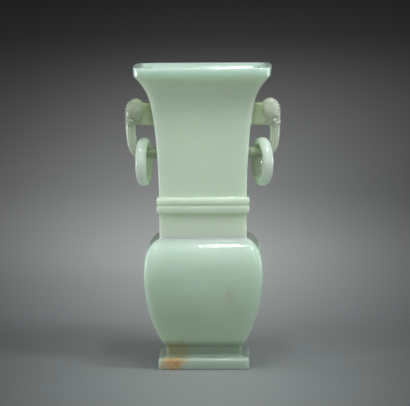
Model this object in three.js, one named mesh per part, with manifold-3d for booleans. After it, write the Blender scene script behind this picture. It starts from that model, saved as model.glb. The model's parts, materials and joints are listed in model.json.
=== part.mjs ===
// Hu vase of rectangular section, carved from one block of jade, with two loose ring handles.
// Millimetres, +Z up. The origin is the middle of the foot's underside, and -Y is the front.
// The vessel with its handles is one solid. Each ring is free, and hangs on the bar of its handle.

import * as THREE from 'three';
import { mergeVertices } from 'three/addons/utils/BufferGeometryUtils.js';
import Module from 'manifold-3d';

// Plan of the neck. Every other level is wider or narrower by one margin, the same on all four sides.
const neckWidth = 57.8;
const neckDepth = 42.8;
const neckCornerRadius = 2.6;
const cornerGrowth = 0.3;
const faceBow = 0.06;

// Widths of the other levels, across the handles.
const footWidth = 60.3;
const waistWidth = 50;
const bodyWidth = 79.7;
const neckTopWidth = 69;
const mouthWidth = 91.6;
const lipLean = 0.3;
const edgeRound = 0.7;

// Heights of the levels, from the table upwards.
const footWallHeight = 7.7;
const footLedgeHeight = 1.8;
const waistHeight = 5.3;
const lowerBodyHeight = 46.2;
const shoulderHeight = 26.3;
const lowerNeckHeight = 16.6;
const cordHeight = 5.25;
const cordRelief = 1.9;
const upperNeckHeight = 62.6;
const flareHeight = 17.4;
const lipHeight = 5.6;

// The hollow, and the shallow recess under the foot.
const lipWall = 3.4;
const neckWall = 4.6;
const bodyWall = 5.6;
const floorThickness = 8;
const hollowCornerRadius = 3.2;
const recessDepth = 2.6;
const footRimWidth = 5.4;

// Loose rings, each turned a little about the vertical, with its near side outwards.
const ringInnerRadius = 10.1;
const ringThickness = 6.1;
const ringWidth = 7.3;
const leftRingYaw = 7.5;
const rightRingYaw = 16.3;

// Handles: an arm out of the neck, a domed head, and a trunk that curls back to the neck as a bar.
const armHeight = 14.9;
const armThickness = 7.6;
const armBelowNeckTop = 1.5;
const headCrown = 2.9;
const headHalfWidth = 7.6;
const headCheek = 2.2;
const browRadius = 2.4;
const tuskRadius = 1.1;
const tuskLength = 6.5;
const crestBumps = 6;
const crestBumpRadius = 1.05;
const trunkRadius = 3.4;
const barRadius = 3.5;
const rootSink = 2.6;

// Clearances of a ring: to the bar that it hangs on, the neck, the trunk, and the arm as it swings.
const ringBarGap = 0.55;
const ringNeckGap = 1.2;
const ringTrunkGap = 1.6;
const ringArmGap = 2.2;

const wasm = await Module();
wasm.setup();

// Margins outside the neck's plan, and heights of the joins between the levels.
const marginOf = (width) => (width - neckWidth) / 2;
const footMargin = marginOf(footWidth);
const waistMargin = marginOf(waistWidth);
const bodyMargin = marginOf(bodyWidth);
const neckTopMargin = marginOf(neckTopWidth);
const lipMargin = marginOf(mouthWidth);
const waistFoot = footWallHeight + footLedgeHeight;
const bodyFoot = waistFoot + waistHeight;
const bodyWidest = bodyFoot + lowerBodyHeight;
const neckFoot = bodyWidest + shoulderHeight;
const bandFoot = neckFoot + lowerNeckHeight;
const bandTop = bandFoot + 2 * cordHeight;
const neckTop = bandTop + upperNeckHeight;
const lipFoot = neckTop + flareHeight;
const mouthTop = lipFoot + lipHeight;

// Places of the handles' parts. A ring fits between the neck and the trunk, and swings clear of the arm.
const ringOuterRadius = ringInnerRadius + ringThickness;
const widestYaw = THREE.MathUtils.degToRad(Math.max(leftRingYaw, rightRingYaw));
const ringHalfReach = ringOuterRadius * Math.sin(widestYaw) + (ringWidth / 2) * Math.cos(widestYaw);
const armTop = neckTop - armBelowNeckTop;
const armBottom = armTop - armHeight;
const armMiddle = (armTop + armBottom) / 2;
const barZ = armBottom - ringArmGap - ringOuterRadius;
const ringX = sideWallAt(barZ) + ringNeckGap + ringHalfReach;
const trunkX = ringX + ringWidth / 2 + ringTrunkGap + trunkRadius;
const headX = trunkX + trunkRadius * 1.05 - headHalfWidth;
const headHalfThickness = armThickness / 2 + headCheek;
const headHalfHeight = (armHeight + headCrown) / 2;

// Points of a cubic curve between two profile points. Each handle is a share of the way across and up.
function curvePoints(start, end, startHandle, endHandle, steps) {
  const handle = (share) => point(
    THREE.MathUtils.lerp(start.x, end.x, share[0]),
    THREE.MathUtils.lerp(start.y, end.y, share[1]),
  );
  return new THREE.CubicBezierCurve(start, handle(startHandle), handle(endHandle), end).getPoints(steps);
}

// A profile point: the margin outside the neck's plan, and the height.
function point(margin, z) {
  return new THREE.Vector2(margin, z);
}

// The swell of the body and the curve of its shoulder, which the hollow follows inside.
function bodyCurves(bottom, widest, top, lowerSteps, upperSteps) {
  return [
    ...curvePoints(bottom, widest, [0.58, 0.26], [0.96, 0.63], lowerSteps),
    ...curvePoints(widest, top, [-0.01, 0.5], [0.124, 0.83], upperSteps).slice(1),
  ];
}

// The long curve of the upper neck and the quick one of the flare, which the hollow follows inside.
function neckCurves(bottom, waist, top, lowerSteps, upperSteps) {
  return [
    ...curvePoints(bottom, waist, [0.07, 0.33], [0.28, 0.73], lowerSteps),
    ...curvePoints(waist, top, [0.15, 0.333], [0.43, 0.67], upperSteps).slice(1),
  ];
}

// Half-round cord, between its lower root and its upper root.
function cordPoints(foot, steps) {
  const fullness = 0.6;
  const points = [];
  for (let i = 1; i < steps; i++) {
    const angle = Math.PI * (i / steps - 0.5);
    const height = (cordHeight / 2) * (1 + Math.sin(angle));
    points.push(point(cordRelief * Math.cos(angle) ** fullness, foot + height));
  }
  return points;
}

function outerProfile() {
  const groove = point(cordRelief / 4, bandFoot + cordHeight);
  const ledgeTop = point(waistMargin, waistFoot);
  return [
    point(footMargin - edgeRound, 0),
    point(footMargin, edgeRound),
    ...curvePoints(point(footMargin, footWallHeight), ledgeTop, [0.75, 0.1], [1, 0.55], 4),
    ...bodyCurves(point(waistMargin, bodyFoot), point(bodyMargin, bodyWidest), point(0, neckFoot), 10, 9),
    point(0, bandFoot),
    ...cordPoints(bandFoot, 5),
    groove,
    ...cordPoints(bandFoot + cordHeight, 5),
    ...neckCurves(point(0, bandTop), point(neckTopMargin, neckTop), point(lipMargin - lipLean, lipFoot), 7, 7),
    point(lipMargin, mouthTop - edgeRound),
    point(lipMargin - edgeRound, mouthTop),
  ];
}

// The hollow runs from its floor to just above the mouth, so that it opens the mouth cleanly.
function hollowProfile() {
  const floor = recessDepth + floorThickness;
  const floorRound = 3;
  const overshoot = 2;
  const bottom = point(waistMargin - bodyWall, floor + floorRound);
  const widest = point(bodyMargin - bodyWall, bodyWidest);
  const shoulder = point(-neckWall, neckFoot + bodyWall / 3);
  const waist = point(neckTopMargin - neckWall, neckTop);
  return [
    point(bottom.x - floorRound, floor),
    ...bodyCurves(bottom, widest, shoulder, 6, 6),
    ...neckCurves(point(-neckWall, bandTop), waist, point(lipMargin - lipWall, mouthTop), 4, 6),
    point(lipMargin - lipWall, mouthTop + overshoot),
  ];
}

// Outline of one level: a rectangle with round corners and faintly bowed sides, anticlockwise from above.
function planOutline(margin, z, innermostRadius, cornerSteps, sideSteps) {
  const growth = Math.max(margin, 0);
  const radius = innermostRadius + cornerGrowth * growth;
  const bow = faceBow * growth;
  const halves = [neckWidth / 2 + margin - bow, neckDepth / 2 + margin - bow];
  const outline = [];
  for (let side = 0; side < 4; side++) {
    const straight = halves[side % 2] - radius;
    const out = halves[(side + 1) % 2];
    const add = (along, away) => {
      const corner = new THREE.Vector2(along, -away).rotateAround(new THREE.Vector2(), (side * Math.PI) / 2);
      outline.push(new THREE.Vector3(corner.x, corner.y, z));
    };
    for (let i = 0; i < sideSteps; i++) {
      const share = (2 * i) / sideSteps - 1;
      add(straight * share, out + bow * Math.cos((Math.PI / 2) * share));
    }
    for (let i = 0; i < cornerSteps; i++) {
      const angle = (Math.PI / 2) * (i / cornerSteps);
      add(straight + radius * Math.sin(angle), out - radius * (1 - Math.cos(angle)));
    }
  }
  return outline;
}

// A closed solid through rings of points, each ring anticlockwise seen from the end that the rings run to.
function loft(rings) {
  const count = rings[0].length;
  const points = rings.flat();
  const index = [];
  for (let i = 0; i < rings.length - 1; i++) {
    for (let j = 0; j < count; j++) {
      const a = i * count + j;
      const b = i * count + ((j + 1) % count);
      index.push(a, b, b + count, a, b + count, a + count);
    }
  }
  for (const ring of [0, rings.length - 1]) {
    const middle = new THREE.Vector3();
    rings[ring].forEach((p) => middle.addScaledVector(p, 1 / count));
    points.push(middle);
    for (let j = 0; j < count; j++) {
      const a = ring * count + j;
      const b = ring * count + ((j + 1) % count);
      const edge = ring === 0 ? [b, a] : [a, b];
      index.push(points.length - 1, ...edge);
    }
  }
  const geometry = new THREE.BufferGeometry().setFromPoints(points);
  geometry.setIndex(index);
  return geometry;
}

function toSolid(geometry) {
  const bare = geometry.clone();
  bare.deleteAttribute('normal');
  bare.deleteAttribute('uv');
  const merged = mergeVertices(bare, 1e-4);
  const mesh = new wasm.Mesh({
    numProp: 3,
    vertProperties: new Float32Array(merged.attributes.position.array),
    triVerts: new Uint32Array(merged.index.array),
  });
  return new wasm.Manifold(mesh);
}

function toGeometry(solid) {
  const mesh = solid.getMesh();
  const geometry = new THREE.BufferGeometry();
  geometry.setAttribute('position', new THREE.BufferAttribute(new Float32Array(mesh.vertProperties), 3));
  geometry.setIndex(new THREE.BufferAttribute(new Uint32Array(mesh.triVerts), 1));
  geometry.computeVertexNormals();
  return geometry;
}

// A solid ellipsoid with the given half-axes, tipped about Y and moved into place.
function ellipsoid(halfAxes, centre, tip, steps) {
  const geometry = new THREE.SphereGeometry(1, steps, Math.round(steps * 0.6));
  geometry.scale(...halfAxes);
  geometry.rotateY(tip);
  geometry.translate(...centre);
  return toSolid(geometry);
}

// A round bar along a smooth curve, with a radius that changes on the way.
function taperedBar(points, radiusAt, steps, sides) {
  const curve = new THREE.CatmullRomCurve3(points, false, 'centripetal');
  const frames = curve.computeFrenetFrames(steps, false);
  const rings = [];
  for (let i = 0; i <= steps; i++) {
    const share = i / steps;
    const centre = curve.getPointAt(share);
    const ring = [];
    for (let j = 0; j < sides; j++) {
      const angle = (2 * Math.PI * j) / sides;
      ring.push(centre.clone()
        .addScaledVector(frames.normals[i], radiusAt(share) * Math.cos(angle))
        .addScaledVector(frames.binormals[i], radiusAt(share) * Math.sin(angle)));
    }
    rings.push(ring);
  }
  return toSolid(loft(rings));
}

// Distance of the vessel's side wall from the middle at one height, read from its profile.
function sideWallAt(z) {
  const profile = outerProfile();
  const above = profile.findIndex((p) => p.y > z);
  const low = profile[above - 1];
  const high = profile[above];
  return neckWidth / 2 + THREE.MathUtils.mapLinear(z, low.y, high.y, low.x, high.x);
}

// The arm: a flat bar with rounded edges that widens into the neck. x is outwards.
function handleArm() {
  const steps = 20;
  const squareness = 0.45;
  const bend = (v) => Math.sign(v) * Math.abs(v) ** squareness;
  const wall = sideWallAt(armMiddle);
  const stations = [
    { x: sideWallAt(armBottom) - rootSink, spread: 1.12 },
    { x: wall + 1.5, spread: 1.02 },
    { x: wall + 4, spread: 1 },
    { x: headX, spread: 1 },
  ];
  const rings = stations.map(({ x, spread }) => Array.from({ length: steps }, (_, i) => {
    const angle = (2 * Math.PI * i) / steps;
    return new THREE.Vector3(
      x,
      spread * (armThickness / 2) * bend(Math.cos(angle)),
      armMiddle + spread * (armHeight / 2) * bend(Math.sin(angle)),
    );
  }));
  return toSolid(loft(rings));
}

// The head: a dome with a pair of ears, a brow, tusks and a crest of small bumps down its back.
function handleHead() {
  const centre = [headX, 0, armMiddle + headCrown / 2];
  const browX = headX + headHalfWidth - browRadius - 0.4;
  let head = ellipsoid([headHalfWidth, headHalfThickness, headHalfHeight], centre, 0, 20);
  head = head.add(ellipsoid(
    [browRadius * 1.3, headHalfThickness * 0.78, browRadius], [browX, 0, armBottom + browRadius / 2], 0.3, 12,
  ));
  for (const side of [-1, 1]) {
    const ear = [headX + 1, side * headHalfThickness * 0.62, armMiddle + 2.6];
    head = head.add(ellipsoid([headHalfWidth * 0.62, headCheek * 1.2, headHalfHeight * 0.78], ear, -0.3, 14));
    head = head.add(tusk(side));
  }
  for (let i = 0; i < crestBumps; i++) {
    const angle = THREE.MathUtils.lerp(1.05, -0.18, i / (crestBumps - 1));
    const x = centre[0] + (headHalfWidth - crestBumpRadius / 4) * Math.cos(angle);
    const z = centre[2] + (headHalfHeight - crestBumpRadius / 4) * Math.sin(angle);
    head = head.add(ellipsoid([crestBumpRadius, headHalfThickness * 0.56, crestBumpRadius], [x, 0, z], 0, 8));
  }
  return head;
}

function tusk(side) {
  const base = new THREE.Vector3(headX + 1.6, side * headHalfThickness / 2, armBottom + browRadius);
  const points = [[0, 0, 0], [0.9, side * 0.5, -0.5 * tuskLength], [2.6, side * 0.2, -tuskLength]]
    .map(([x, y, z]) => base.clone().add(new THREE.Vector3(x, y, z)));
  return taperedBar(points, (share) => tuskRadius * (1 - 0.55 * share), 5, 7);
}

// The trunk comes down from the brow, curls in through the ring, and ends in the neck's wall.
function handleTrunk() {
  const bend = (trunkX - ringX) * 0.66;
  const points = [
    [trunkX - 0.4, armBottom + browRadius],
    [trunkX, armBottom - 4],
    [trunkX - 0.5, barZ + bend + 2],
    [trunkX - 2, barZ + bend / 2],
    [trunkX - bend + 0.9, barZ + 0.3],
    [ringX, barZ],
    [sideWallAt(barZ) - rootSink, barZ],
  ].map(([x, z]) => new THREE.Vector3(x, 0, z));
  const radius = (share) => THREE.MathUtils.lerp(trunkRadius, barRadius, Math.min(1, share * 2));
  return taperedBar(points, radius, 22, 12);
}

function vesselSolid() {
  const outer = toSolid(loft(outerProfile().map((p) => planOutline(p.x, p.y, neckCornerRadius, 4, 4))));
  const hollow = toSolid(loft(hollowProfile().map((p) => planOutline(p.x, p.y, hollowCornerRadius, 3, 2))));
  const recessMargin = footMargin - footRimWidth;
  const recess = toSolid(loft([-1, recessDepth].map((z) => planOutline(recessMargin, z, neckCornerRadius, 4, 1))));
  const handle = handleArm().add(handleHead()).add(handleTrunk());
  return outer.add(handle).add(handle.mirror([1, 0, 0])).subtract(hollow).subtract(recess);
}

// A ring about the X axis, with a softly squared oval section.
function ringGeometry() {
  const middle = (ringOuterRadius + ringInnerRadius) / 2;
  const sides = 12;
  const squareness = 0.9;
  const bend = (v) => Math.sign(v) * Math.abs(v) ** squareness;
  const section = Array.from({ length: sides }, (_, i) => {
    const angle = (2 * Math.PI * i) / sides;
    return new THREE.Vector2(
      middle + (ringThickness / 2) * bend(Math.cos(angle)),
      (ringWidth / 2) * bend(Math.sin(angle)),
    );
  });
  const geometry = new THREE.LatheGeometry([...section, section[0]], 40);
  geometry.rotateZ(-Math.PI / 2);
  return toGeometry(toSolid(geometry));
}

function looseRing(name, side, yaw, material) {
  const ring = new THREE.Mesh(ringGeometry(), material);
  ring.name = name;
  ring.rotation.z = side * THREE.MathUtils.degToRad(yaw);
  ring.position.set(side * ringX, 0, barZ + barRadius + ringBarGap - ringInnerRadius);
  return ring;
}

const vesselJade = new THREE.MeshStandardMaterial({ color: 0xb4cdb6, roughness: 0.22, metalness: 0 });
const ringJade = new THREE.MeshStandardMaterial({ color: 0xc2d6c0, roughness: 0.2, metalness: 0 });

const vase = new THREE.Group();
const vessel = new THREE.Mesh(toGeometry(vesselSolid()), vesselJade);
vessel.name = 'vessel';
vase.add(vessel);
vase.add(looseRing('left_ring', -1, leftRingYaw, ringJade));
vase.add(looseRing('right_ring', 1, rightRingYaw, ringJade));

export default vase;
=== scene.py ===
import json
import math

import bmesh
import bpy
import numpy as np
from mathutils import Matrix, Vector


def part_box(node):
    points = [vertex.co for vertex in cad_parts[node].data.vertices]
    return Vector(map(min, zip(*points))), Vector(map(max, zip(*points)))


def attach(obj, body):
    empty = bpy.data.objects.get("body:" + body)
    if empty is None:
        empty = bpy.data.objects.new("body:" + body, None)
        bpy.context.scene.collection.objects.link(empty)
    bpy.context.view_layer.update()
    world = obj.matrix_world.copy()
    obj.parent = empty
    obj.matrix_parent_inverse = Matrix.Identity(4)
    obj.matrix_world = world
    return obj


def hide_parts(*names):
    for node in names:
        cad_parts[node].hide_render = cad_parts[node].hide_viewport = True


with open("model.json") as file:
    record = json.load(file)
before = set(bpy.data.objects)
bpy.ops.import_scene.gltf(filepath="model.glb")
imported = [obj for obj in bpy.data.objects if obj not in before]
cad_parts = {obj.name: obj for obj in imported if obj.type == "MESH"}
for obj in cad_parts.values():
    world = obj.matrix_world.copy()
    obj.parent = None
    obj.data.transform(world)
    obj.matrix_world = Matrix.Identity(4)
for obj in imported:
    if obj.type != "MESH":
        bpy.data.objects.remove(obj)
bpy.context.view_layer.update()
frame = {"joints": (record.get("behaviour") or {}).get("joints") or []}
MM = 0.001

# Plan of the neck. Every other level is wider or narrower by one margin, the same on all four sides.
NECK_WIDTH = 57.8
NECK_DEPTH = 42.8
CORNER_RADIUS = 2.6
HOLLOW_CORNER_RADIUS = 3.2
CORNER_GROWTH = 0.3
FACE_BOW = 0.06

# Widths and heights of the levels, from the table upwards.
FOOT_WIDTH, FOOT_WALL, FOOT_EASE = 60.3, 7.7, 2.0
WAIST_WIDTH, WAIST_HEIGHT = 50.0, 5.3
FOOT_LEDGE = 1.8
BODY_WIDTH, LOWER_BODY, SHOULDER = 79.7, 46.2, 26.3
LOWER_NECK = 16.6
CORD_HEIGHT, CORD_RELIEF = 5.25, 1.9
NECK_TOP_WIDTH, UPPER_NECK = 69.0, 62.6
MOUTH_WIDTH, FLARE, LIP = 91.6, 17.4, 5.6
LIP_LEAN = 0.3

# Walls of the hollow, and the recess under the foot.
LIP_WALL, NECK_WALL, BODY_WALL = 3.4, 4.6, 5.6
FLOOR_THICKNESS = 8.0
RECESS_DEPTH, FOOT_RIM = 2.6, 5.4

# Handles and rings.
ARM_HEIGHT, ARM_THICKNESS, ARM_BELOW_NECK_TOP = 14.9, 7.6, 1.5
HEAD_HALF_WIDTH, HEAD_CROWN, HEAD_CHEEK = 7.6, 2.9, 2.2
TRUNK_RADIUS, BAR_RADIUS = 3.4, 3.5
RING_INNER, RING_THICKNESS, RING_WIDTH = 10.1, 6.1, 7.3
RING_TRUNK_GAP, RING_ARM_GAP = 1.6, 2.2


def margin_of(width):
    """How far a level's sides stand out from the neck's."""
    return (width - NECK_WIDTH) / 2


# Heights of the joins between the levels.
WAIST_FOOT = FOOT_WALL + FOOT_LEDGE
BODY_FOOT = WAIST_FOOT + WAIST_HEIGHT
BODY_WIDEST = BODY_FOOT + LOWER_BODY
NECK_FOOT = BODY_WIDEST + SHOULDER
BAND_FOOT = NECK_FOOT + LOWER_NECK
BAND_TOP = BAND_FOOT + 2 * CORD_HEIGHT
NECK_TOP = BAND_TOP + UPPER_NECK
LIP_FOOT = NECK_TOP + FLARE
MOUTH_TOP = LIP_FOOT + LIP

# Places of the handles' parts.
ARM_TOP = NECK_TOP - ARM_BELOW_NECK_TOP
ARM_BOTTOM = ARM_TOP - ARM_HEIGHT
ARM_MIDDLE = (ARM_TOP + ARM_BOTTOM) / 2
BAR_Z = ARM_BOTTOM - RING_ARM_GAP - RING_INNER - RING_THICKNESS
right_low, right_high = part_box("right_ring")
RING_X = (right_low[0] + right_high[0]) / 2 / MM
RING_Z = (right_low[2] + right_high[2]) / 2 / MM
TRUNK_X = RING_X + RING_WIDTH / 2 + RING_TRUNK_GAP + TRUNK_RADIUS
HEAD_X = TRUNK_X + TRUNK_RADIUS * 1.05 - HEAD_HALF_WIDTH
HEAD_HALF_THICKNESS = ARM_THICKNESS / 2 + HEAD_CHEEK
HEAD_HALF_HEIGHT = (ARM_HEIGHT + HEAD_CROWN) / 2
CURL_ANGLES = np.linspace(1.3, -0.4, 8)


# Profiles. A profile point is (margin, height). The whole profile adds the corner radius of the plan there.

def curve(start, end, start_share, end_share, steps):
    """Points of a cubic curve, whose handles are shares of the way across and up."""
    p0, p3 = np.array(start), np.array(end)
    p1 = p0 + (p3 - p0) * np.array(start_share)
    p2 = p0 + (p3 - p0) * np.array(end_share)
    t = np.linspace(0, 1, steps + 1)[:, None]
    points = (1 - t) ** 3 * p0 + 3 * (1 - t) ** 2 * t * p1 + 3 * (1 - t) * t ** 2 * p2 + t ** 3 * p3
    return [tuple(p) for p in points]


def body_curves(bottom, widest, top):
    lower = curve(bottom, widest, (0.58, 0.26), (0.96, 0.63), 34)
    upper = curve(widest, top, (-0.01, 0.5), (0.124, 0.83), 30)
    return lower + upper[1:]


def neck_curves(bottom, waist, top):
    lower = curve(bottom, waist, (0.07, 0.33), (0.28, 0.73), 30)
    upper = curve(waist, top, (0.15, 0.333), (0.43, 0.67), 24)
    return lower + upper[1:]


def cord(foot):
    """One full, rounded cord of the band, without its roots."""
    steps, fullness = 16, 0.28
    points = []
    for i in range(1, steps):
        angle = math.pi * (i / steps - 0.5)
        margin = CORD_RELIEF * math.cos(angle) ** fullness
        points.append((margin, foot + CORD_HEIGHT / 2 * (1 + math.sin(angle))))
    return points


def rounded(before, corner, after, radius, steps=5):
    """The corner between two profile points, eased by a small curve."""
    corner = np.array(corner)
    ends = []
    for other in (before, after):
        way = np.array(other) - corner
        ends.append(corner + way * min(0.45, radius / np.linalg.norm(way)))
    t = np.linspace(0, 1, steps + 1)[:, None]
    points = (1 - t) ** 2 * ends[0] + 2 * (1 - t) * t * corner + t ** 2 * ends[1]
    return [tuple(p) for p in points]


def eased(points, radii):
    """The profile with the corners at the given indexes rounded."""
    out = []
    for i, p in enumerate(points):
        if i in radii:
            out += rounded(points[i - 1], p, points[i + 1], radii[i])
        else:
            out.append(p)
    return out


def outer_profile():
    foot, waist = margin_of(FOOT_WIDTH), margin_of(WAIST_WIDTH)
    body, neck_top, lip = margin_of(BODY_WIDTH), margin_of(NECK_TOP_WIDTH), margin_of(MOUTH_WIDTH)
    rim = foot - FOOT_RIM
    base = [
        (rim, RECESS_DEPTH),
        (rim, 0.0),
        (foot, 0.0),
    ]
    steps = 8
    for i in range(steps + 1):
        angle = math.pi / 2 * i / steps
        base.append((foot - FOOT_EASE * (1 - math.cos(angle)), FOOT_WALL - FOOT_EASE * (1 - math.sin(angle))))
    ledge = curve((foot - FOOT_EASE, FOOT_WALL), (waist, WAIST_FOOT), (0.75, 0.1), (1.0, 0.55), steps)
    swell = body_curves((waist, BODY_FOOT), (body, BODY_WIDEST), (0.0, NECK_FOOT))
    band = cord(BAND_FOOT) + [(CORD_RELIEF / 4, BAND_FOOT + CORD_HEIGHT)] + cord(BAND_FOOT + CORD_HEIGHT)
    neck = neck_curves((0.0, BAND_TOP), (neck_top, NECK_TOP), (lip - LIP_LEAN, LIP_FOOT))
    points = base + ledge[1:] + swell + [(0.0, BAND_FOOT)] + band + neck
    points += [(lip, MOUTH_TOP), (lip - LIP_WALL, MOUTH_TOP)]
    neck_root = len(base) + len(ledge) + len(swell) - 2
    band_foot = neck_root + 1
    band_top = band_foot + len(band) + 1
    lip_crease = len(points) - 3
    radii = {1: 0.5, 2: 0.7, neck_root: 1.7, band_foot: 0.5, band_top: 0.5}
    radii.update({lip_crease: 0.6, lip_crease + 1: 0.6})
    return eased(points, radii)


def hollow_profile():
    floor, floor_round = RECESS_DEPTH + FLOOR_THICKNESS, 3.0
    waist, lip = margin_of(WAIST_WIDTH) - BODY_WALL, margin_of(MOUTH_WIDTH) - LIP_WALL
    widest = (margin_of(BODY_WIDTH) - BODY_WALL, BODY_WIDEST)
    shoulder = (-NECK_WALL, NECK_FOOT + BODY_WALL / 3)
    neck_top = (margin_of(NECK_TOP_WIDTH) - NECK_WALL, NECK_TOP)
    upwards = [(waist - floor_round, floor)]
    upwards += body_curves((waist, floor + floor_round), widest, shoulder)
    upwards += neck_curves((-NECK_WALL, BAND_TOP), neck_top, (lip, MOUTH_TOP))
    return upwards[::-1]


def whole_profile():
    """From the middle of the recess, up the outside, over the lip and down the inside to the floor."""
    outer = outer_profile()
    hollow = hollow_profile()
    lip_edge = rounded(outer[-2], outer[-1], hollow[1], 0.6)
    outside = [(m, z, CORNER_RADIUS) for m, z in outer[:-1]]
    inside = [(m, z, HOLLOW_CORNER_RADIUS) for m, z in lip_edge + hollow[1:]]
    return outside + inside


def profile_margin(z):
    """Margin of the outside at a height, read from the neck's profile."""
    rising = sorted((q, m) for m, q in outer_profile() if q > NECK_FOOT + 2)
    heights, margins = zip(*rising)
    return np.interp(z, heights, margins)


# Meshes.

def plan(margin, z, base_radius, corner_steps=10, side_steps=14):
    """One level's outline: a rectangle with round corners and faintly bowed sides, anticlockwise."""
    growth = max(margin, 0.0)
    radius = base_radius + CORNER_GROWTH * growth
    bow = FACE_BOW * growth
    halves = (NECK_WIDTH / 2 + margin - bow, NECK_DEPTH / 2 + margin - bow)
    outline = []
    for side in range(4):
        straight, out = halves[side % 2] - radius, halves[(side + 1) % 2]
        along_away = []
        for i in range(side_steps):
            share = 2 * i / side_steps - 1
            along_away.append((straight * share, out + bow * math.cos(math.pi / 2 * share)))
        for i in range(corner_steps):
            angle = math.pi / 2 * i / corner_steps
            along_away.append((straight + radius * math.sin(angle), out - radius * (1 - math.cos(angle))))
        turn = Matrix.Rotation(side * math.pi / 2, 2)
        outline += [(*(turn @ Vector((along, -away))), z) for along, away in along_away]
    return outline


def mesh_object(name, points_mm, faces, body):
    """A mesh object from points in millimetres, which rides on a body."""
    mesh = bpy.data.meshes.new(name)
    mesh.from_pydata([tuple(c * MM for c in p) for p in points_mm], [], faces)
    mesh.update()
    obj = bpy.data.objects.new(name, mesh)
    bpy.context.scene.collection.objects.link(obj)
    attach(obj, body)
    return obj


def vessel_loft():
    """The vessel's wall without its handles, as one closed skin."""
    rings = [plan(*p) for p in whole_profile()]
    count = len(rings[0])
    points = [p for ring in rings for p in ring]
    faces = []
    for i in range(len(rings) - 1):
        for j in range(count):
            a, b = i * count + j, i * count + (j + 1) % count
            faces.append((a, b, b + count, a + count))
    for ring, flip in ((0, True), (len(rings) - 1, False)):
        points.append((0.0, 0.0, rings[ring][0][2]))
        for j in range(count):
            a, b = ring * count + j, ring * count + (j + 1) % count
            faces.append((len(points) - 1, b, a) if flip else (len(points) - 1, a, b))
    return points, faces


# Carving. The handle is a field of signed distances on a grid, which surface_net turns into a skin.

def smooth_min(a, b, blend):
    """Two solids as one, with a fillet about as wide as the blend."""
    h = np.clip(0.5 + 0.5 * (b - a) / blend, 0, 1)
    return b + (a - b) * h - blend * h * (1 - h)


def smooth_max(a, b, blend):
    """What two solids share, with its edge softened over the blend."""
    return -smooth_min(-a, -b, blend)


def tipped(x, z, centre, tip):
    """Coordinates about a centre, turned about Y."""
    dx, dz = x - centre[0], z - centre[2]
    return dx * math.cos(tip) + dz * math.sin(tip), -dx * math.sin(tip) + dz * math.cos(tip)


def ellipsoid(x, y, z, centre, half, tip=0.0):
    """Roughly the distance from an ellipsoid, which is exact at its skin."""
    qx, qz = tipped(x, z, centre, tip)
    qy = y - centre[1]
    near = np.sqrt((qx / half[0]) ** 2 + (qy / half[1]) ** 2 + (qz / half[2]) ** 2)
    steep = np.sqrt((qx / half[0] ** 2) ** 2 + (qy / half[1] ** 2) ** 2 + (qz / half[2] ** 2) ** 2)
    return near * (near - 1) / np.maximum(steep, 1e-6)


def rounded_box(x, y, z, low, high, radius):
    outside = []
    for q, a, b in zip((x, y, z), low, high):
        outside.append(np.abs(q - (a + b) / 2) - (b - a) / 2 + radius)
    away = np.sqrt(sum(np.maximum(d, 0) ** 2 for d in outside))
    return away + np.minimum(np.maximum(np.maximum(outside[0], outside[1]), outside[2]), 0) - radius


def tapered_line(x, y, z, a, b, radius_a, radius_b):
    """A round-ended rod from a to b, whose radius changes evenly."""
    a, b = np.array(a), np.array(b)
    way = b - a
    share = ((x - a[0]) * way[0] + (y - a[1]) * way[1] + (z - a[2]) * way[2]) / way.dot(way)
    share = np.clip(share, 0, 1)
    away = np.sqrt(sum((q - a[i] - share * way[i]) ** 2 for i, q in enumerate((x, y, z))))
    return away - (radius_a + (radius_b - radius_a) * share)


def trunk_path():
    """Centre line of the trunk and the bar, in the handle's plane: outwards and up."""
    bend = (TRUNK_X - RING_X) * 0.66
    stops = np.array([
        (TRUNK_X - 0.2, ARM_BOTTOM + 2.4),
        (TRUNK_X - 0.1, ARM_BOTTOM - 4),
        (TRUNK_X - 0.8, BAR_Z + bend + 2),
        (TRUNK_X - 2.3, BAR_Z + bend / 2),
        (TRUNK_X - bend + 0.9, BAR_Z + 0.3),
        (RING_X, BAR_Z),
        (NECK_WIDTH / 2 - 1.5, BAR_Z),
    ])
    padded = np.vstack([2 * stops[0] - stops[1], stops, 2 * stops[-1] - stops[-2]])
    points = []
    for i in range(1, len(padded) - 2):
        p0, p1, p2, p3 = padded[i - 1:i + 3]
        for t in np.linspace(0, 1, 16, endpoint=False):
            points.append(0.5 * (2 * p1 + (p2 - p0) * t + (2 * p0 - 5 * p1 + 4 * p2 - p3) * t ** 2
                                 + (3 * p1 - p0 - 3 * p2 + p3) * t ** 3))
    return np.array(points + [stops[-1]])


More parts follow.
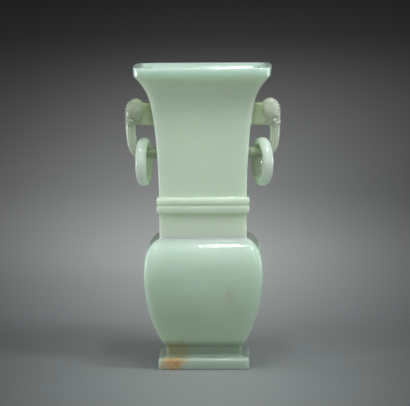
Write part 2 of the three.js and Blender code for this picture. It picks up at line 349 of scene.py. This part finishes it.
def trunk_field(x, y, z):
    """The trunk, with two lengthwise folds on each side and faint wrinkles across it."""
    path = trunk_path()
    steps = np.linalg.norm(np.diff(path, axis=0), axis=1)
    along = np.concatenate([[0], np.cumsum(steps)])
    ways = np.gradient(path, axis=0)
    ways /= np.linalg.norm(ways, axis=1)[:, None]
    nearest = np.full(x.shape, 1e9)
    side = np.zeros(x.shape)
    run = np.zeros(x.shape)
    for p, way, s in zip(path, ways, along):
        dx, dz = x - p[0], z - p[1]
        flat = dx ** 2 + dz ** 2
        closer = flat < nearest
        nearest = np.where(closer, flat, nearest)
        side = np.where(closer, dx * way[1] - dz * way[0], side)
        run = np.where(closer, s + dx * way[0] + dz * way[1], run)
    radius = np.interp(run, [0, 9, 20, 26], [TRUNK_RADIUS + 0.1, TRUNK_RADIUS, BAR_RADIUS - 0.1, BAR_RADIUS])
    away = (np.sqrt(nearest) ** 2.4 + np.abs(y * 1.08) ** 2.4) ** (1 / 2.4) - radius
    on_trunk = np.clip((20 - run) / 4, 0, 1)
    flank = np.clip((np.abs(y) - 1.2) / 1.2, 0, 1)
    fold_width, wrinkle_spacing = 0.34, 2.3
    folds = np.exp(-((side - 1.05) / fold_width) ** 2) + 0.7 * np.exp(-((side + 1.15) / fold_width) ** 2)
    wrinkles = 0.5 + 0.5 * np.cos(run * 2 * math.pi / wrinkle_spacing)
    back = np.clip(-side / TRUNK_RADIUS, 0, 1)
    return away + on_trunk * (0.45 * folds * flank + 0.16 * wrinkles * back)


def head_field(x, y, z):
    """Skull with a row of curls, creased ears, sunken eyes, a jaw, and the fold above the trunk."""
    side, ear_tip, eye_tip = np.abs(y), 0.42, 0.38
    half = (6.6, HEAD_HALF_THICKNESS - 0.3, HEAD_HALF_HEIGHT + 0.2)
    centre = (HEAD_X + HEAD_HALF_WIDTH + 0.1 - half[0], 0, ARM_MIDDLE + HEAD_CROWN / 2 - 0.4)
    head = smooth_min(ellipsoid(x, y, z, centre, half), crest_field(x, y, z, centre, half), 0.35)
    head = head + curl_grooves(x, z, centre, half)
    ear = leaf(x, side, z, (HEAD_X + 1.2, ARM_MIDDLE + 2.8), (4.7, 7.2), ear_tip, HEAD_HALF_THICKNESS - 0.4)
    head = smooth_min(head, ear, 1.6)
    crease = leaf(x, side, z, (HEAD_X + 2.1, ARM_MIDDLE + 3.0), (3.2, 5.4), ear_tip, HEAD_HALF_THICKNESS + 3)
    inner = np.maximum(np.abs(crease) - 0.25, HEAD_X + 3.0 - x)
    head = smooth_max(head, -np.maximum(inner, HEAD_HALF_THICKNESS - 0.6 - side), 0.5)
    eye = (HEAD_X + 3.6, HEAD_HALF_THICKNESS - 1.3, ARM_BOTTOM + 3.5)
    head = smooth_max(head, -ellipsoid(x, side, z, eye, (2.5, 1.9, 1.7), eye_tip), 0.5)
    head = smooth_min(head, ellipsoid(x, side, z, eye, (1.7, 1.8, 1.1), eye_tip), 0.25)
    fold = (HEAD_X + HEAD_HALF_WIDTH - 3.2, 0, ARM_BOTTOM + 1.0)
    head = smooth_min(head, ellipsoid(x, y, z, fold, (3.5, 4.5, 2.1), 0.35), 0.6)
    jaw = ellipsoid(x, y, z, (HEAD_X + 1.0, 0, ARM_BOTTOM + 2.6), (4.4, 4.6, 2.7))
    return smooth_min(head, jaw, 1.0)


def leaf(x, side, z, centre, half, tip, face):
    """A raised leaf on the head's flank: round above, narrow below, flat on its face."""
    qx, qz = tipped(x, z, (centre[0], 0, centre[1]), tip)
    narrow = half[0] * (1 - 0.4 * np.clip(-qz / half[1], 0, 1) ** 1.3)
    near = ((np.abs(qx) / narrow) ** 2.3 + (np.abs(qz) / half[1]) ** 2.3) ** (1 / 2.3)
    return smooth_max((near - 1) * half[0] * 0.9, side - face, 1.8)


def crest_field(x, y, z, centre, half):
    """A row of small curls down the back of the head."""
    crest = np.full(x.shape, 1e3)
    sunk = 0.85
    for angle in CURL_ANGLES:
        place_x = centre[0] + half[0] * math.cos(angle) - sunk
        place_z = centre[2] + half[2] * math.sin(angle) - sunk
        curl = ellipsoid(x, y, z, (place_x, 0, place_z), (1.5, 3.6, 1.15), math.pi / 2 - angle)
        crest = np.minimum(crest, curl)
    return crest


def curl_grooves(x, z, centre, half):
    """Depth of the grooves between the curls, which run a little way onto the head's flanks."""
    qx, qz = (x - centre[0]) / half[0], (z - centre[2]) / half[2]
    angle = np.arctan2(qz, qx)
    first, last, depth = CURL_ANGLES[0], CURL_ANGLES[-1], 0.38
    turn = 2 * math.pi * (angle - first) / (CURL_ANGLES[1] - first)
    within = np.clip((first + 0.2 - angle) / 0.1, 0, 1) * np.clip((angle - last) / 0.1, 0, 1)
    rim = np.clip((np.hypot(qx, qz) - 0.66) / 0.2, 0, 1)
    return depth * rim * within * (0.5 - 0.5 * np.cos(turn))


def handle_field(x, y, z):
    """The right-hand handle with two short tusks, blended into a slab that hides in the neck's wall."""
    wall = NECK_WIDTH / 2 + profile_margin(z)
    low = (NECK_WIDTH / 2 - 1, -ARM_THICKNESS / 2, ARM_BOTTOM)
    high = (HEAD_X, ARM_THICKNESS / 2, ARM_TOP)
    arm = rounded_box(x, y, z, low, high, 1.5)
    solid = smooth_min(arm, head_field(x, y, z), 0.9)
    solid = smooth_min(solid, trunk_field(x, y, z), 0.8)
    for end in (-1, 1):
        root = (TRUNK_X - 2.2, 2.35 * end, ARM_BOTTOM + 1.2)
        point = (TRUNK_X - 1.5, 2.75 * end, ARM_BOTTOM - 7.0)
        solid = smooth_min(solid, tapered_line(x, y, z, root, point, 1.25, 0.5), 0.3)
    skin, slab_depth = 0.15, 2.8
    slab = np.maximum(x - wall + skin, wall - slab_depth - x)
    patches = np.minimum(np.abs(z - ARM_MIDDLE) - 11.5, np.abs(z - BAR_Z) - 7.5)
    slab = np.maximum(np.maximum(slab, np.abs(y) - 8.2), patches)
    return np.maximum(smooth_min(solid, slab, 1.8), wall - slab_depth - x)


def surface_net(field, low, step):
    """Vertices and outward quads of the skin where a gridded field crosses zero."""
    inside = field < 0
    shape = np.array(field.shape)
    corners = [(i, j, k) for i in (0, 1) for j in (0, 1) for k in (0, 1)]

    def cells(a, c):
        return a[tuple(slice(c[i], shape[i] - 1 + c[i]) for i in range(3))]

    count = sum(cells(inside, c).astype(np.int8) for c in corners)
    active = np.argwhere((count > 0) & (count < 8))
    total = np.zeros((len(active), 3))
    crossings = np.zeros(len(active))
    for a in corners:
        for axis in range(3):
            if a[axis] == 1:
                continue
            b = tuple(1 if i == axis else a[i] for i in range(3))
            fa = field[tuple((active + a).T)]
            fb = field[tuple((active + b).T)]
            hit = (fa < 0) != (fb < 0)
            share = np.where(hit, fa / np.where(hit, fa - fb, 1), 0)
            place = active + np.array(a) + share[:, None] * (np.array(b) - np.array(a))
            total += place * hit[:, None]
            crossings += hit
    points = np.array(low) + step * total / crossings[:, None]
    number = np.full(shape - 1, -1, dtype=np.int64)
    number[tuple(active.T)] = np.arange(len(active))
    quads = []
    for axis in range(3):
        u, v = (axis + 1) % 3, (axis + 2) % 3
        start = [slice(None)] * 3
        end = [slice(None)] * 3
        start[axis], end[axis] = slice(0, -1), slice(1, None)
        before, after = inside[tuple(start)], inside[tuple(end)]
        edges = np.argwhere(before != after)
        within = (edges[:, [u, v]] > 0) & (edges[:, [u, v]] < shape[[u, v]] - 1)
        edges = edges[within.all(axis=1)]
        outwards = before[tuple(edges.T)]
        ring = []
        for du, dv in ((-1, -1), (0, -1), (0, 0), (-1, 0)):
            cell = edges.copy()
            cell[:, u] += du
            cell[:, v] += dv
            ring.append(number[tuple(cell.T)])
        ring = np.array(ring).T
        quads.append(np.where(outwards[:, None], ring, ring[:, ::-1]))
    return points, np.vstack(quads)


def settle(points, quads, field_at, rounds=3):
    """Evens the skin out, and puts it back on the field's zero after each round."""
    ends = np.vstack([quads[:, [i, (i + 1) % 4]] for i in range(4)])
    reach = 0.05
    for _ in range(rounds):
        total = np.zeros_like(points)
        number = np.zeros(len(points))
        np.add.at(total, ends[:, 0], points[ends[:, 1]])
        np.add.at(number, ends[:, 0], 1)
        points = 0.5 * points + 0.5 * total / number[:, None]
        value = field_at(*points.T)
        slope = np.array([
            field_at(*(points + reach * np.eye(3)[i]).T) - value for i in range(3)
        ]).T / reach
        steep = np.maximum((slope ** 2).sum(axis=1), 0.25)
        points = points - np.clip(value / steep, -0.2, 0.2)[:, None] * slope
    return points


def handle_mesh():
    step = 0.3
    low = np.array((NECK_WIDTH / 2 - 3.5, -9.5, BAR_Z - 9.0))
    high = np.array((TRUNK_X + 6.5, 9.5, ARM_TOP + 6.0))
    axes = [np.arange(low[i], high[i], step) for i in range(3)]
    field = handle_field(*np.meshgrid(*axes, indexing="ij"))
    points, quads = surface_net(field, low, step)
    return settle(points, quads, handle_field), quads


def joined(target, extra):
    """Makes the extra solid part of the target, and removes the extra object."""
    modifier = target.modifiers.new("join", "BOOLEAN")
    modifier.operation = "UNION"
    modifier.solver = "MANIFOLD"
    modifier.object = extra
    evaluated = target.evaluated_get(bpy.context.evaluated_depsgraph_get())
    mesh = bpy.data.meshes.new_from_object(evaluated)
    target.modifiers.clear()
    target.data = mesh
    bpy.data.objects.remove(extra)


def soft_shading(obj, angle=35):
    """Smooth shading, except across edges sharper than the angle in degrees."""
    mesh = obj.data
    mesh.shade_smooth()
    mesh.set_sharp_from_angle(angle=math.radians(angle))


def make_vessel():
    points, faces = vessel_loft()
    vessel = mesh_object("carved_vessel", points, faces, "vessel")
    carved, quads = handle_mesh()
    for side in (1, -1):
        turned = carved * np.array((side, 1, 1))
        order = quads if side == 1 else quads[:, ::-1]
        handle = mesh_object("handle_solid", turned.tolist(), order.tolist(), "vessel")
        joined(vessel, handle)
    soft_shading(vessel)
    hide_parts("vessel")
    return vessel


def make_ring(name, side):
    """A loose ring with a softly squared oval section, where its solid hangs."""
    joint = next(j for j in frame["joints"] if j["child"] == name)
    axis = Vector(joint["axis"]).normalized()
    turn = Matrix.Rotation(math.atan2(axis.y, axis.x), 3, "Z")
    centre = Vector((side * RING_X, 0, RING_Z))
    middle = RING_INNER + RING_THICKNESS / 2
    around, section = 160, 40
    squareness = 0.9
    points = []
    for i in range(around):
        angle = 2 * math.pi * i / around
        for j in range(section):
            s = 2 * math.pi * j / section
            out = middle + RING_THICKNESS / 2 * math.copysign(abs(math.cos(s)) ** squareness, math.cos(s))
            across = RING_WIDTH / 2 * math.copysign(abs(math.sin(s)) ** squareness, math.sin(s))
            points.append(centre + turn @ Vector((across, out * math.cos(angle), out * math.sin(angle))))
    faces = []
    for i in range(around):
        for j in range(section):
            a, b = i * section, (i + 1) % around * section
            j2 = (j + 1) % section
            faces.append((a + j, b + j, b + j2, a + j2))
    ring = mesh_object("loose_" + name, points, faces, name)
    outward_faces(ring)
    soft_shading(ring)
    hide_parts(name)
    return ring


def outward_faces(obj):
    """Turns every face to look out of its solid."""
    bm = bmesh.new()
    bm.from_mesh(obj.data)
    bmesh.ops.recalc_face_normals(bm, faces=bm.faces)
    bm.to_mesh(obj.data)
    bm.free()


# Materials.

class Nodes:
    """Short hand for building one material's node tree."""

    def __init__(self, name):
        self.material = bpy.data.materials.new(name)
        self.material.use_nodes = True
        self.tree = self.material.node_tree
        self.shader = self.tree.nodes["Principled BSDF"]
        self.place = self.add("ShaderNodeTexCoord").outputs["Object"]

    def add(self, kind, **values):
        node = self.tree.nodes.new(kind)
        for key, value in values.items():
            setattr(node, key, value)
        return node

    def link(self, source, socket):
        self.tree.links.new(source, socket)

    def noise(self, scale, detail=3.0, roughness=0.5, warp=0.0, offset=(0, 0, 0)):
        """A noise value over the object's own coordinates, in metres."""
        shift = self.add("ShaderNodeMapping")
        shift.inputs["Location"].default_value = offset
        self.link(self.place, shift.inputs["Vector"])
        node = self.add("ShaderNodeTexNoise")
        self.link(shift.outputs["Vector"], node.inputs["Vector"])
        node.inputs["Scale"].default_value = scale
        node.inputs["Detail"].default_value = detail
        node.inputs["Roughness"].default_value = roughness
        node.inputs["Distortion"].default_value = warp
        return node.outputs["Fac"]

    def span(self, value, low, high, to_low=0.0, to_high=1.0):
        """Maps a value's range to another, smoothly and clamped."""
        node = self.add("ShaderNodeMapRange", interpolation_type="SMOOTHSTEP")
        self.link(value, node.inputs["Value"])
        for socket, number in zip(("From Min", "From Max", "To Min", "To Max"), (low, high, to_low, to_high)):
            node.inputs[socket].default_value = number
        return node.outputs["Result"]

    def math(self, operation, a, b):
        node = self.add("ShaderNodeMath", operation=operation)
        for socket, value in zip(node.inputs, (a, b)):
            if isinstance(value, (int, float)):
                socket.default_value = value
            else:
                self.link(value, socket)
        return node.outputs[0]

    def mix(self, share, a, b):
        """Mixes two colours, each a tuple or a socket."""
        node = self.add("ShaderNodeMix", data_type="RGBA")
        self.link(share, node.inputs["Factor"])
        for socket, value in zip((node.inputs[6], node.inputs[7]), (a, b)):
            if isinstance(value, tuple):
                socket.default_value = (*value, 1.0)
            else:
                self.link(value, socket)
        return node.outputs[2]

    def tint(self, mask, share, colour, other):
        """The colour, mixed with a share of another one where the mask is one."""
        return self.mix(self.math("MULTIPLY", mask, share), colour, other)

    def axes(self):
        """The place's three coordinates, by their letters."""
        place = self.add("ShaderNodeSeparateXYZ")
        self.link(self.place, place.inputs[0])
        return place.outputs

    def near(self, centre_mm, reach_mm, edge, warp):
        """One at a place, falling to nothing at its reach, with a ragged edge."""
        shift = self.add("ShaderNodeVectorMath", operation="SUBTRACT")
        self.link(self.place, shift.inputs[0])
        shift.inputs[1].default_value = tuple(c * MM for c in centre_mm)
        scale = self.add("ShaderNodeVectorMath", operation="DIVIDE")
        self.link(shift.outputs[0], scale.inputs[0])
        scale.inputs[1].default_value = tuple(r * MM for r in reach_mm)
        length = self.add("ShaderNodeVectorMath", operation="LENGTH")
        self.link(scale.outputs[0], length.inputs[0])
        ragged = self.math("ADD", length.outputs["Value"], self.span(warp, 0.3, 0.7, -edge, edge))
        return self.span(ragged, 0.35, 1.0, 1.0, 0.0)


def jade(name, pale, mid, deep):
    """Polished nephrite, which light enters, with a soft cloudy colour: its nodes, colour and polish."""
    n = Nodes(name)
    clouds = n.noise(24, 3.0, 0.55, 0.8)
    wisps = n.noise(80, 4.0, 0.6, 1.6, (0.3, 0.1, 0.2))
    colour = n.mix(n.span(clouds, 0.3, 0.7), mid, pale)
    colour = n.mix(n.span(wisps, 0.55, 0.8, 0.0, 0.22), colour, deep)
    polish = n.span(n.noise(140, 3.0), 0.3, 0.7, 0.07, 0.12)
    n.shader.inputs["Subsurface Weight"].default_value = 1.0
    n.shader.inputs["Subsurface Radius"].default_value = (0.92, 1.0, 0.88)
    n.shader.inputs["Subsurface Scale"].default_value = 12 * MM
    n.shader.inputs["IOR"].default_value = 1.6
    bump = n.add("ShaderNodeBump")
    bump.inputs["Strength"].default_value = 0.05
    bump.inputs["Distance"].default_value = 0.4 * MM
    n.link(n.noise(160, 2.0), bump.inputs["Height"])
    n.link(bump.outputs["Normal"], n.shader.inputs["Normal"])
    return n, colour, polish


def vessel_jade():
    """The vessel's stone: paler up the neck, waxier on the body, more olive at its base, with stains. Painted
    shade darkens the lip, the foot, the waist and the mouth's inside, and painted light tints the lower neck
    and band.
    """
    n, colour, polish = jade("vessel_jade", (0.67, 0.83, 0.67), (0.59, 0.77, 0.59), (0.46, 0.63, 0.44))
    ragged = n.noise(230, 4.0, 0.6, 0.6)
    place = n.axes()
    drift = n.math("ADD", place["Z"], n.span(n.noise(18, 2.0), 0.3, 0.7, -15 * MM, 15 * MM))
    neck = n.span(place["Z"], (NECK_FOOT - 2) * MM, (NECK_FOOT + 3) * MM)
    under_neck = n.span(place["Z"], BAND_TOP * MM, (BAND_TOP + 4) * MM, 1.0, 0.0)
    foot = n.span(place["Z"], FOOT_WALL * MM, WAIST_FOOT * MM, 1.0, 0.0)
    under_body = n.span(place["Z"], BODY_FOOT * MM, (BODY_FOOT + 6) * MM, 1.0, 0.0)
    over_foot = n.span(place["Z"], FOOT_WALL * MM, (WAIST_FOOT + 1) * MM)
    zones = (
        (neck, 0.85, (0.78, 1.0, 0.72)),
        # Painted light: a yellower green on the lower neck and band, standing in for light where the band
        # shades the neck.
        (n.math("MULTIPLY", neck, under_neck), 0.9, (0.76, 1.0, 0.68)),
        # Painted shade: the lip above the flare in a darker, bluer green, which also stands in for the bluish
        # reflection on it.
        (n.span(place["Z"], (LIP_FOOT - 1) * MM, (LIP_FOOT + 1) * MM), 0.8, (0.49, 0.63, 0.54)),
        (n.span(drift, 12 * MM, 60 * MM, 1.0, 0.0), 0.5, (0.52, 0.62, 0.44)),
        # Painted shade: the foot darker, fading out over its ledge.
        (foot, 0.68, (0.34, 0.40, 0.36)),
        # Painted shade: the ledge, the waist and the lowest part of the body dark, as in the shadow under the
        # body's overhang.
        (n.math("MULTIPLY", under_body, over_foot), 0.85, (0.25, 0.33, 0.24)),
    )
    for zone, share, stone in zones:
        colour = n.tint(zone, share, colour, stone)
    colour = hollow_shade(n, place, colour)
    colour = handle_stone_and_shade(n, place, colour)
    colour = russet_skin(n, colour, ragged)
    n.link(colour, n.shader.inputs["Base Color"])
    waxy = n.span(place["Z"], (NECK_FOOT - 9.3) * MM, (NECK_FOOT - 3.3) * MM, 0.36, 0.0)
    waxy = n.math("MULTIPLY", waxy, n.span(place["Z"], FOOT_WALL * MM, BODY_FOOT * MM))
    n.link(n.math("MAXIMUM", waxy, polish), n.shader.inputs["Roughness"])
    return n.material


def hollow_shade(n, place, colour):
    """Painted shade inside the hollow, strongest at the mouth: faces there look back at the vase's axis."""
    normal = n.add("ShaderNodeTexCoord").outputs["Normal"]
    flat = n.add("ShaderNodeVectorMath", operation="MULTIPLY")
    n.link(n.place, flat.inputs[0])
    flat.inputs[1].default_value = (1.0, NECK_WIDTH / NECK_DEPTH, 0.0)
    outwards = n.add("ShaderNodeVectorMath", operation="NORMALIZE")
    n.link(flat.outputs[0], outwards.inputs[0])
    facing = n.add("ShaderNodeVectorMath", operation="DOT_PRODUCT")
    n.link(normal, facing.inputs[0])
    n.link(outwards.outputs[0], facing.inputs[1])
    inside = n.span(facing.outputs["Value"], -0.35, -0.1, 1.0, 0.0)
    deepening = n.span(place["Z"], (MOUTH_TOP - 60) * MM, (MOUTH_TOP - 10) * MM, 0.1, 0.9)
    inside = n.math("MULTIPLY", inside, deepening)
    above_handles = n.span(place["Z"], (ARM_TOP + 2) * MM, (ARM_TOP + 4) * MM)
    within_wall = n.math("SUBTRACT", 1.0, past_neck_wall(n, place, -1.5, -0.5))
    inside = n.math("MULTIPLY", inside, n.math("MAXIMUM", above_handles, within_wall))
    return n.mix(inside, colour, (0.44, 0.54, 0.47))


def past_neck_wall(n, place, start, end):
    """Nothing within the neck's side walls and one beyond them, changing between two distances from them."""
    low, high = profile_margin(BAR_Z), profile_margin(ARM_MIDDLE)
    lean = (high - low) / (ARM_MIDDLE - BAR_Z)
    wall = NECK_WIDTH / 2 + low - lean * BAR_Z
    outwards = n.math("ABSOLUTE", place["X"], 0.0)
    clear = n.math("SUBTRACT", outwards, n.math("MULTIPLY", place["Z"], lean))
    return n.span(clear, (wall + start) * MM, (wall + end) * MM)


def handle_stone_and_shade(n, place, colour):
    """The handles' stone and painted shade: brown-olive arms, partly painted shade; bars darkened by painted
    shade; greyer heads and trunks, the right head painted paler and the left darker as light falls.
    """
    outwards = n.math("ABSOLUTE", place["X"], 0.0)
    handle = past_neck_wall(n, place, -0.2, 0.6)
    sideways = n.math("ABSOLUTE", place["Y"], 0.0)
    handle = n.math("MULTIPLY", handle, n.span(sideways, 7 * MM, 11 * MM, 1.0, 0.0))
    under_arm_top = n.span(place["Z"], ARM_TOP * MM, (ARM_TOP + 1.5) * MM, 1.0, 0.0)
    crown = n.span(place["Z"], (ARM_TOP + 4) * MM, (ARM_TOP + 6) * MM, 1.0, 0.0)
    crown = n.math("MULTIPLY", crown, n.span(outwards, (HEAD_X - 5) * MM, (HEAD_X - 3) * MM))
    handle = n.math("MULTIPLY", handle, n.math("MAXIMUM", under_arm_top, crown))
    handle = n.math("MULTIPLY", handle, n.span(place["Z"], (BAR_Z - 22.2) * MM, (BAR_Z - 12.2) * MM))
    mottle = n.span(n.noise(260, 3.0, 0.6, 0.8, (0.1, 0.4, 0.2)), 0.3, 0.7)
    # Painted light and shade: the right handle's head paler as lit from the right, the left one's darker as
    # in shade.
    shaded_left_head = n.mix(mottle, (0.48, 0.50, 0.41), (0.40, 0.41, 0.31))
    lit_right_head = n.mix(mottle, (0.58, 0.58, 0.52), (0.48, 0.48, 0.39))
    head = n.mix(n.span(place["X"], -10 * MM, 10 * MM), shaded_left_head, lit_right_head)
    trunk = n.span(place["Z"], (ARM_BOTTOM - 2) * MM, (ARM_BOTTOM + 1) * MM, 1.0, 0.0)
    head = n.mix(trunk, head, (0.53, 0.55, 0.47))
    # Brown-olive arms: partly the stone's own tone, partly painted shade.
    arm = n.mix(mottle, (0.58, 0.60, 0.44), (0.52, 0.55, 0.38))
    arm = n.mix(n.span(outwards, (HEAD_X - 4.5) * MM, (HEAD_X - 2.5) * MM), arm, head)
    # Painted shade: the bars dark brown-olive, as shaded by the arms and rings.
    bar = n.span(place["Z"], (BAR_Z + 4) * MM, (BAR_Z + 8) * MM, 1.0, 0.0)
    bar = n.math("MULTIPLY", bar, n.span(outwards, (RING_X + 1) * MM, (RING_X + 4) * MM, 1.0, 0.0))
    arm = n.mix(bar, arm, (0.31, 0.33, 0.23))
    return n.tint(handle, 0.92, colour, arm)


def russet_skin(n, colour, ragged):
    """Iron-stained skin left at the front left of the foot, and a faint stain on the body."""
    stain = n.near((-18, -20, 12), (13, 9, 10), 0.12, ragged)
    colour = n.tint(stain, 0.6, colour, (0.36, 0.30, 0.13))
    skin = n.near((-20.5, -22, 4.5), (10.5, 7, 6.6), 0.2, ragged)
    veins = n.span(n.noise(260, 2.0, 0.5, 0.6), 0.35, 0.7)
    russet = n.mix(veins, (0.62, 0.38, 0.15), (0.46, 0.24, 0.09))
    colour = n.tint(skin, 0.85, colour, russet)
    blush = n.near((17, -31, 50), (5, 8, 8), 0.15, ragged)
    return n.tint(blush, 0.22, colour, (0.60, 0.42, 0.25))


def ring_jade():
    """The rings' stone: whitish on the side that faces the front, with painted shade in olive on the side
    towards the back.
    """
    n, colour, polish = jade("loose_ring_jade", (0.79, 0.93, 0.77), (0.73, 0.86, 0.70), (0.56, 0.70, 0.52))
    place = n.axes()
    # Painted shade: olive on each ring's side towards the back, deeper on the right ring than on the left.
    back = n.span(place["Y"], -7 * MM, 5 * MM)
    far = n.mix(n.span(place["X"], -10 * MM, 10 * MM), (0.67, 0.71, 0.56), (0.54, 0.56, 0.46))
    n.link(n.tint(back, 0.85, colour, far), n.shader.inputs["Base Color"])
    n.link(polish, n.shader.inputs["Roughness"])
    return n.material


def dress(obj, material):
    obj.data.materials.clear()
    obj.data.materials.append(material)


# Stage, light and camera.

def make_stage():
    """A wide floor with a painted pool of light: palest along a lane under the vase, darker to its sides and
    far behind it.
    """
    half, clearance = 14000.0, 0.02
    lane_half, far_start, far_end = 210, 1300, 6200
    grey, black = (0.275, 0.278, 0.278), (0.0, 0.0, 0.0)
    n = Nodes("floor_painted_light_pool")
    n.shader.inputs["Roughness"].default_value = 0.7
    place = n.axes()
    widening = n.math("MAXIMUM", n.math("ADD", n.math("MULTIPLY", place["Y"], 0.6), 1.0), 0.5)
    aside = n.math("DIVIDE", n.math("ABSOLUTE", place["X"], 0.0), widening)
    # Painted light: the floor darkens far behind the vase and away from the lane, as a pool of light would
    # fall off.
    colour = n.mix(n.span(place["Y"], far_start * MM, far_end * MM, 0.0, 0.74), grey, black)
    colour = n.tint(n.span(aside, 0.0, lane_half * MM), 0.74, colour, black)
    n.link(colour, n.shader.inputs["Base Color"])
    points = [(x * half, y * half, -clearance) for x, y in ((-1, -1), (1, -1), (1, 1), (-1, 1))]
    mesh = bpy.data.meshes.new("floor")
    mesh.from_pydata([tuple(c * MM for c in p) for p in points], [], [(0, 1, 2, 3)])
    floor = bpy.data.objects.new("floor", mesh)
    bpy.context.scene.collection.objects.link(floor)
    dress(floor, n.material)


def softbox(name, place_mm, aim_mm, size_mm, watts, spread=180, colour=(1.0, 1.0, 1.0)):
    """An area light. A spread below 180 degrees is a grid on its front, which keeps the light in a pool."""
    light = bpy.data.lights.new(name, "AREA")
    light.shape = "RECTANGLE"
    light.size, light.size_y = size_mm[0] * MM, size_mm[1] * MM
    light.energy = watts
    light.spread = math.radians(spread)
    light.color = colour
    obj = bpy.data.objects.new(name, light)
    obj.location = Vector(place_mm) * MM
    way = (Vector(aim_mm) - Vector(place_mm)).normalized()
    obj.rotation_euler = way.to_track_quat("-Z", "Y").to_euler()
    bpy.context.scene.collection.objects.link(obj)


def make_lights():
    """Large soft panels in front, small ones for highlights, cards at the sides, and pools on the floor."""
    middle, neck, cool = (0, 0, 110), (0, 0, 150), (0.90, 1.0, 1.0)
    softbox("front_big", (60, -1350, 480), middle, (1900, 700), 1.55, 100)
    softbox("front_top", (140, -700, 1100), middle, (1600, 1200), 2.0, 100, cool)
    softbox("top_core", (17, -170, 700), (9, 0, 100), (29, 140), 0.055, 50, cool)
    softbox("top_right", (180, -180, 500), neck, (90, 90), 0.80, 180, cool)
    softbox("top_left", (-150, -180, 500), neck, (90, 90), 0.25, 180, cool)
    softbox("left_card", (-600, 50, 150), middle, (500, 340), 0.38, 120, cool)
    softbox("left_strip", (-522, 85, 120), neck, (60, 80), 0.30, 120, cool)
    softbox("right_card", (600, 50, 150), middle, (500, 340), 0.14, 120, cool)
    softbox("right_strip", (522, 130, 145), neck, (60, 80), 0.22, 120, cool)
    softbox("back_soft", (500, 1300, 800), middle, (1200, 800), 0.40, 100)
    softbox("near_pool", (-45, 300, 900), (-45, 560, 20), (150, 150), 0.85, 58)
    softbox("far_pool", (-170, 3500, 2850), (-170, 4290, 1850), (100, 7600), 23.0, 110)
    world = bpy.data.worlds.new("studio")
    world.use_nodes = True
    background = world.node_tree.nodes["Background"]
    background.inputs["Color"].default_value = (0.95, 0.98, 1.0, 1.0)
    background.inputs["Strength"].default_value = 0.08
    bpy.context.scene.world = world
    bpy.context.scene.view_settings.view_transform = "Standard"


def make_camera():
    """From 1.65 m away, a little above the mouth and right of the front, through a long lens."""
    distance, height, azimuth, roll = 1650.0, 283.0, 0.9, -0.37
    aim = Vector((1.05, 0, 108.5))
    spin = math.radians(azimuth)
    place = Vector((aim.x + distance * math.sin(spin), -distance * math.cos(spin), height))
    camera = bpy.data.cameras.new("camera")
    camera.lens = 219.1
    camera.sensor_width = 36.0
    camera.clip_end = 20
    obj = bpy.data.objects.new("camera", camera)
    turn = (aim - place).normalized().to_track_quat("-Z", "Y").to_matrix()
    turn = turn @ Matrix.Rotation(math.radians(roll), 3, "Z")
    obj.matrix_world = Matrix.Translation(place * MM) @ turn.to_4x4()
    bpy.context.scene.collection.objects.link(obj)
    bpy.context.scene.camera = obj


make_camera()
dress(make_vessel(), vessel_jade())
loose_jade = ring_jade()
dress(make_ring("left_ring", -1), loose_jade)
dress(make_ring("right_ring", 1), loose_jade)
make_stage()
make_lights()
